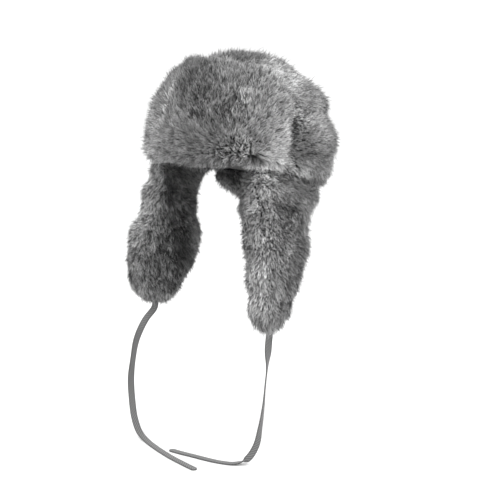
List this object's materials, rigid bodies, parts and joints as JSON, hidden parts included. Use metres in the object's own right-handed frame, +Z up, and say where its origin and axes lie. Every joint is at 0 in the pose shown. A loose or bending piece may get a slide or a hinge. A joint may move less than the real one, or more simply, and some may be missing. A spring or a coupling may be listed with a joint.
{
  "type": "trooper hat",
  "caption": "Deep-fur trooper hat with a domed crown, a turned-up front flap, hanging ear flaps, a short neck flap and flat chin ties left undone.",
  "frame": {"origin": "the inside top of the crown, where the wearer's head carries the hat", "axes": "+Z up as worn, -Y the way the wearer faces, +X to the wearer's left"},
  "size_m": [0.2817, 0.3189, 0.57],
  "materials": {
    "fur": "deep soft grey fur, ticked light and dark, matt",
    "leather": "plain grey suede, matt",
    "tie": "flat grey leather tie, smooth and matt"
  },
  "bodies": {
    "root": {"crown_shell_left": "leather", "crown_shell_right": "leather", "crown_shell_top": "leather", "crown_fur": "fur", "front_flap": "fur", "ear_flap_left": "fur", "ear_flap_right": "fur", "neck_flap": "fur", "tie_left": "tie", "tie_right": "tie"}
  },
  "joints": []
}
